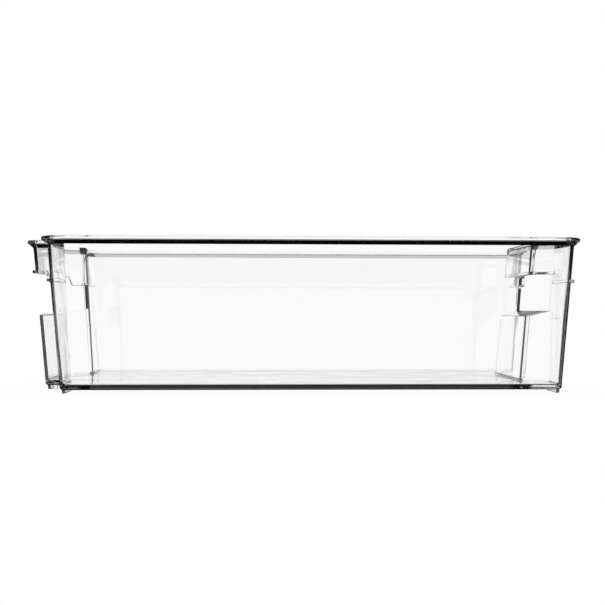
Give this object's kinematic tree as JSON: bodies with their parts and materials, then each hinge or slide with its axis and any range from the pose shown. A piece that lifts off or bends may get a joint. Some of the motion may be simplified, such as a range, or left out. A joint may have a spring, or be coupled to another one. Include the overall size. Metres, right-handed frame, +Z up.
{
  "type": "fridge drawer organizer",
  "caption": "Clear open-top fridge bin with drafted walls, a rolled-out rim, an outward handle on one end, a recessed handle on the other and low rib feet.",
  "frame": {"origin": "centre of the overall footprint, handle included, on the plane the feet rest on", "axes": "+X along the bin, from the outward handle to the recessed one; +Y across it; +Z up"},
  "size_m": [0.3248, 0.1624, 0.089],
  "materials": {
    "clear_plastic": "polished, colourless and transparent, as moulded"
  },
  "bodies": {
    "root": {"back_left_corner": "clear_plastic", "back_left_end_panel": "clear_plastic", "back_left_foot": "clear_plastic", "back_left_rib": "clear_plastic", "back_left_rim": "clear_plastic", "back_right_corner": "clear_plastic", "back_right_end_panel": "clear_plastic", "back_right_foot": "clear_plastic", "back_right_rib": "clear_plastic", "back_right_rim": "clear_plastic", "back_rim": "clear_plastic", "back_wall": "clear_plastic", "bulge_back_foot": "clear_plastic", "bulge_finger_lip": "clear_plastic", "bulge_floor": "clear_plastic", "bulge_front_foot": "clear_plastic", "bulge_grip_back_cheek": "clear_plastic", "bulge_grip_face": "clear_plastic", "bulge_grip_front_cheek": "clear_plastic", "bulge_pocket_back_cheek": "clear_plastic", "bulge_pocket_face": "clear_plastic", "bulge_pocket_front_cheek": "clear_plastic", "bulge_rim": "clear_plastic", "floor_panel": "clear_plastic", "front_left_corner": "clear_plastic", "front_left_end_panel": "clear_plastic", "front_left_foot": "clear_plastic", "front_left_rib": "clear_plastic", "front_left_rim": "clear_plastic", "front_right_corner": "clear_plastic", "front_right_end_panel": "clear_plastic", "front_right_foot": "clear_plastic", "front_right_rib": "clear_plastic", "front_right_rim": "clear_plastic", "front_rim": "clear_plastic", "front_wall": "clear_plastic", "recess_back_foot": "clear_plastic", "recess_finger_lip": "clear_plastic", "recess_front_foot": "clear_plastic", "recess_grip_back_cheek": "clear_plastic", "recess_grip_face": "clear_plastic", "recess_grip_front_cheek": "clear_plastic", "recess_pocket_back_cheek": "clear_plastic", "recess_pocket_face": "clear_plastic", "recess_pocket_front_cheek": "clear_plastic", "recess_rim": "clear_plastic"}
  },
  "joints": []
}
